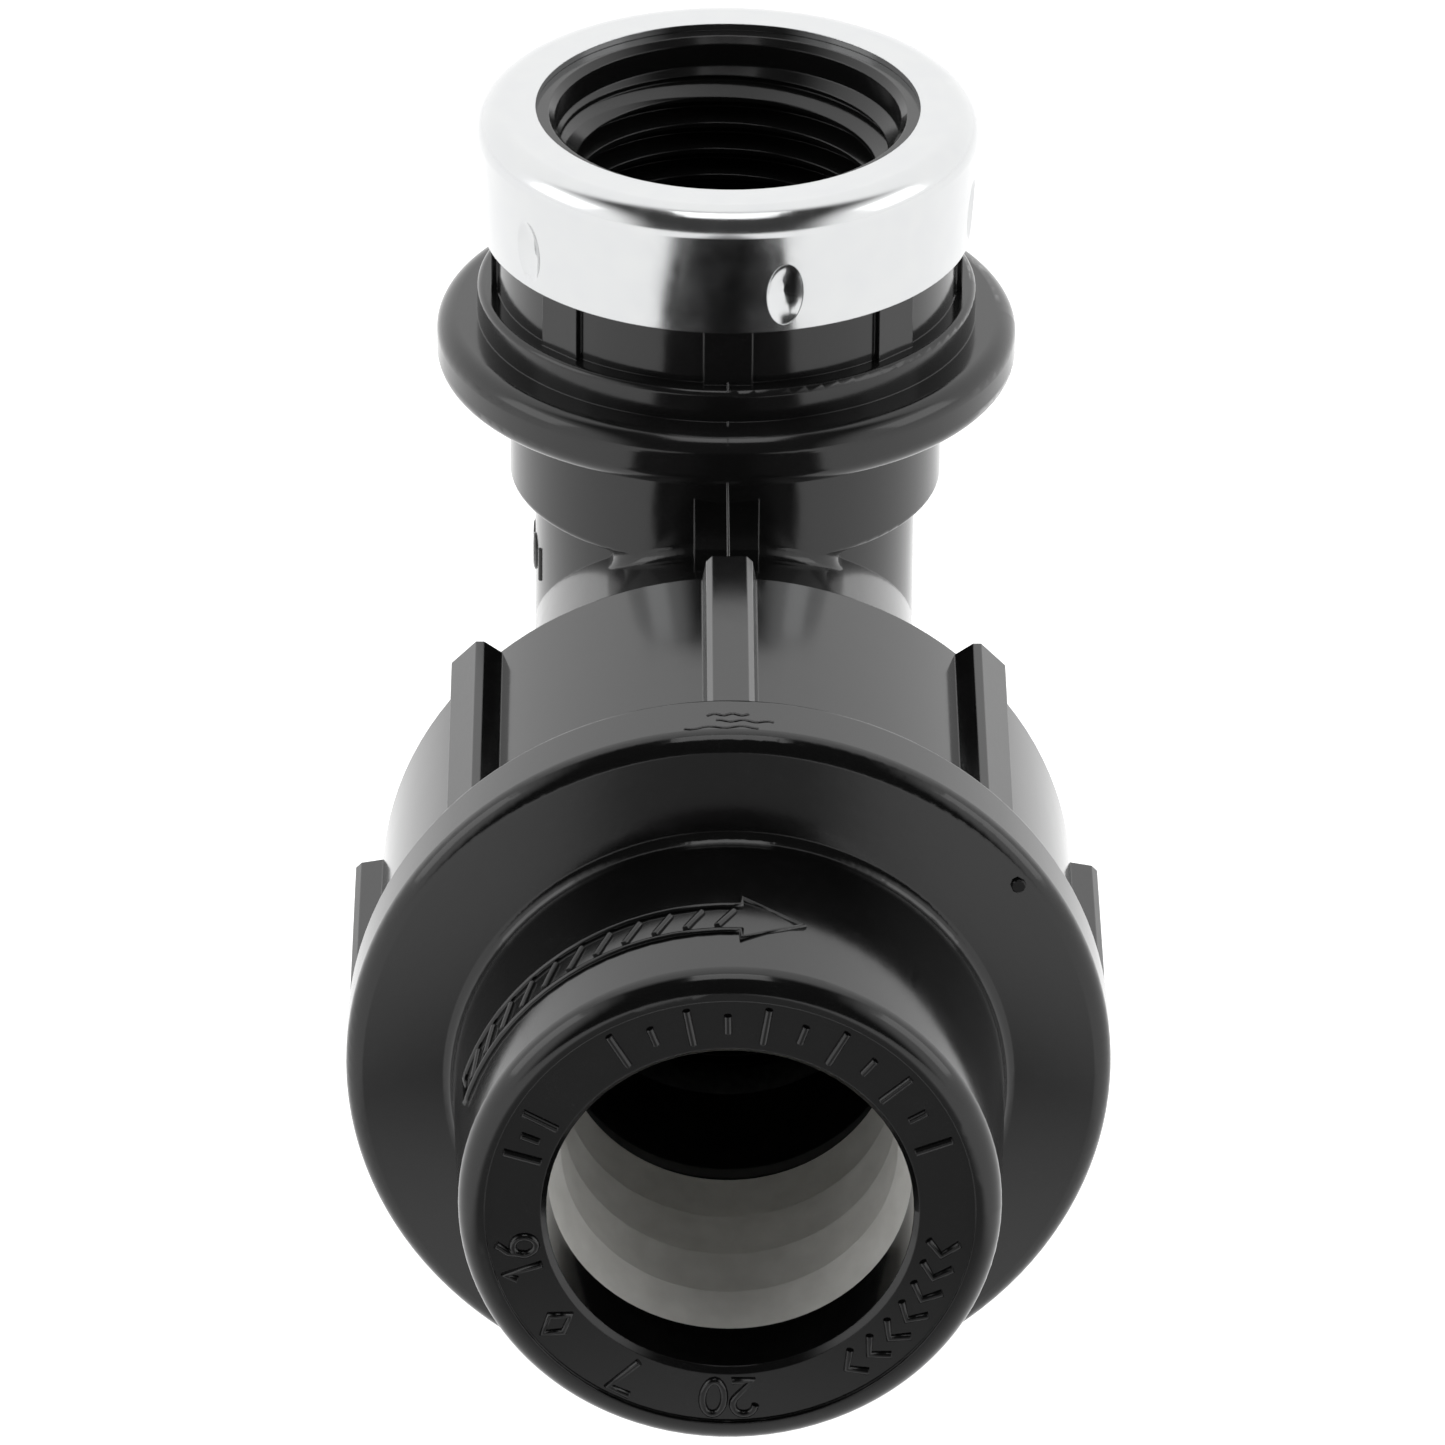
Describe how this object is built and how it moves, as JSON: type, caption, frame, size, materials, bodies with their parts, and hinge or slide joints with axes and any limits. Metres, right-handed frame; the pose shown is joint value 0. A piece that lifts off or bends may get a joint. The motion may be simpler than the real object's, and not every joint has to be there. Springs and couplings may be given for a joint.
{
  "type": "pipe compression fitting, 90 degree female elbow",
  "caption": "Right-angle compression fitting: a ribbed, flanged nut clamps plastic pipe; a steel-ringed port with an inside thread stands square to it.",
  "frame": {"origin": "middle of the threaded port's mouth, at the plastic end face and on the port's axis", "axes": "+Z out of the threaded port; -Y out of the pipe end, along the pipe's axis, which lies 35.9 mm below the origin; +X completes the frame, and the fitting is the same on both sides of the YZ plane apart from its helical threads and the punch marks of the steel ring"},
  "size_m": [0.0454, 0.0917, 0.059],
  "materials": {
    "body_pp": "moulded polypropylene, black",
    "nut_pp": "moulded polypropylene, black",
    "steel": "pressed stainless steel",
    "acetal": "moulded acetal, white",
    "bush_pp": "moulded polypropylene, black",
    "rubber": "nitrile rubber"
  },
  "bodies": {
    "elbow": {"elbow_body": "body_pp", "reinforcing_ring": "steel", "o_ring": "rubber"},
    "grip": {"grip_ring": "acetal"},
    "bush": {"packing_bush": "bush_pp"},
    "nut": {"compression_nut": "nut_pp"}
  },
  "joints": [
    {"name": "nut_advance", "type": "slide", "parent": "elbow", "child": "grip", "axis": [0, 1, 0], "range_m": [-0.0135, 0.0016]},
    {"name": "nut_turn", "type": "hinge", "parent": "grip", "child": "nut", "pos_m": [0, -0.05, -0.0359], "axis": [0, 1, 0], "range_deg": [-1620, 192]},
    {"name": "bush_press", "type": "slide", "parent": "elbow", "child": "bush", "axis": [0, 1, 0], "range_m": [-0.0135, 0.0016], "deforming": ["o_ring"]}
  ],
  "couplings": [
    {"joint": "nut_advance", "follows": "nut_turn", "m_per_rad": 0.00047746},
    {"joint": "bush_press", "follows": "nut_turn", "m_per_rad": 0.00047746}
  ]
}
